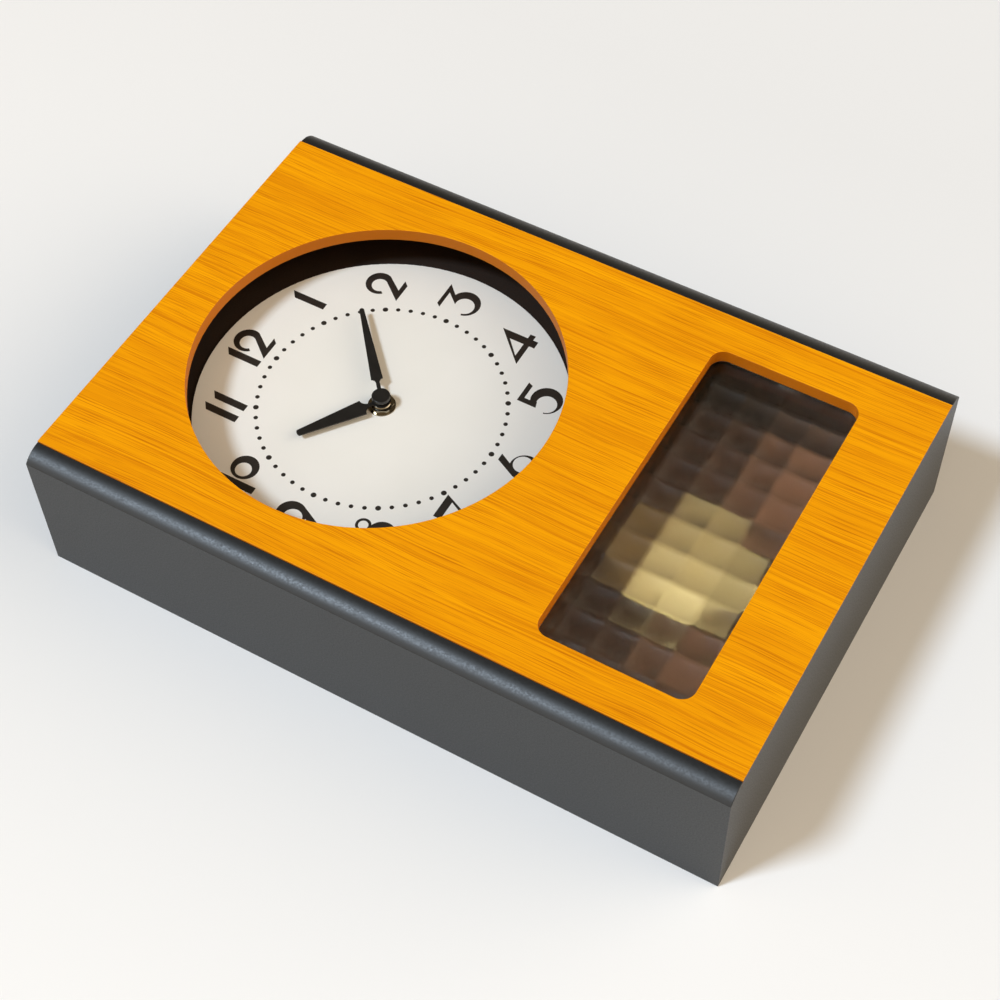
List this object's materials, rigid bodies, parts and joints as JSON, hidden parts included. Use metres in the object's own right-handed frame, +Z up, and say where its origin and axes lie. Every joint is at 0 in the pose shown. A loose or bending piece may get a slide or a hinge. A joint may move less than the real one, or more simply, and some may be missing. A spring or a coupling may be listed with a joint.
{
  "type": "mantel clock",
  "caption": "Flat rectangular pendulum clock: oak-veneered front with a round dial opening and a patterned-glass pendulum window, dark lacquered case, battery movement.",
  "frame": {"origin": "middle of the case's underside, on the surface it stands on", "axes": "+Z up, the dial faces -Y, +X is the side of three o'clock"},
  "size_m": [0.21, 0.07, 0.31],
  "materials": {
    "case_lacquer": "satin blue-grey lacquer on fibreboard",
    "oak_veneer": "amber stained oak veneer, satin",
    "raw_board": "dark brown stained fibreboard",
    "softwood": "raw pine",
    "dial_white": "warm white satin print on aluminium",
    "hand_black": "satin black paint",
    "mosaic_glass": "clear with square lens cells on the inner face",
    "black_foam": "matt foam",
    "black_plastic": "moulded, fine texture",
    "grey_plastic": "moulded",
    "rubber_black": "matt",
    "brass": "brushed and lacquered",
    "steel": "zinc plated",
    "copper_wire": "enamelled wire winding",
    "board_green": "solder mask",
    "cell_wrap": "printed film",
    "magnet_grey": "nickel plated"
  },
  "bodies": {
    "case": {"side_board_left": "case_lacquer", "side_board_right": "case_lacquer", "top_board": "case_lacquer", "bottom_board": "case_lacquer", "case_dowels": "softwood", "corner_blocks": "softwood", "front_panel": "oak_veneer", "window_glass": "mosaic_glass", "glass_gasket": "black_foam", "glazing_frame": "raw_board", "glass_clips": "steel", "clip_screws": "steel", "dial_cleats": "softwood", "dial_board": "raw_board", "dial_board_screws": "steel", "dial_disc": "dial_white", "movement_front_case": "black_plastic", "movement_back_cover": "black_plastic", "movement_bushing": "brass", "rubber_washer": "rubber_black", "brass_washer": "brass", "fixing_nut": "brass", "movement_plate": "grey_plastic", "gear_capsule": "grey_plastic", "motor_coil": "copper_wire", "circuit_board": "board_green", "quartz_crystal": "steel", "battery": "cell_wrap", "battery_positive_contact": "steel", "battery_negative_contact": "steel", "pendulum_coil": "copper_wire", "pendulum_pivot": "steel", "back_board": "raw_board", "hanger_plate": "steel", "back_screws": "steel", "hanger_screws": "steel"},
    "minute": {"minute_arbor": "brass", "minute_hand": "hand_black", "hand_cap": "hand_black"},
    "hour": {"hour_wheel": "grey_plastic", "hour_hand": "hand_black"},
    "motion_wheel": {"minute_wheel": "grey_plastic"},
    "setting": {"set_knob": "grey_plastic"},
    "pendulum": {"pendulum_yoke": "black_plastic", "pendulum_magnet": "magnet_grey", "pendulum_rod": "brass", "bob_front": "brass", "bob_back": "brass", "rating_nut": "brass"}
  },
  "joints": [
    {"name": "minute_hand_turn", "type": "hinge", "parent": "case", "child": "minute", "pos_m": [0, -0.012, 0.2099], "axis": [0, 1, 0], "continuous": true},
    {"name": "hour_hand_turn", "type": "hinge", "parent": "case", "child": "hour", "pos_m": [0, -0.012, 0.2099], "axis": [0, 1, 0], "continuous": true},
    {"name": "motion_wheel_turn", "type": "hinge", "parent": "case", "child": "motion_wheel", "pos_m": [0.006, -0.004, 0.2099], "axis": [0, 1, 0], "continuous": true},
    {"name": "set_knob_turn", "type": "hinge", "parent": "case", "child": "setting", "pos_m": [0.012, 0.01, 0.2099], "axis": [0, 1, 0], "continuous": true},
    {"name": "pendulum_swing", "type": "hinge", "parent": "case", "child": "pendulum", "pos_m": [0, 0.0056, 0.174], "axis": [0, 1, 0], "range_deg": [-9, 9]}
  ],
  "couplings": [
    {"joint": "hour_hand_turn", "follows": "minute_hand_turn", "ratio": 0.083333},
    {"joint": "motion_wheel_turn", "follows": "minute_hand_turn", "ratio": -0.33333},
    {"joint": "set_knob_turn", "follows": "minute_hand_turn", "ratio": 1}
  ]
}
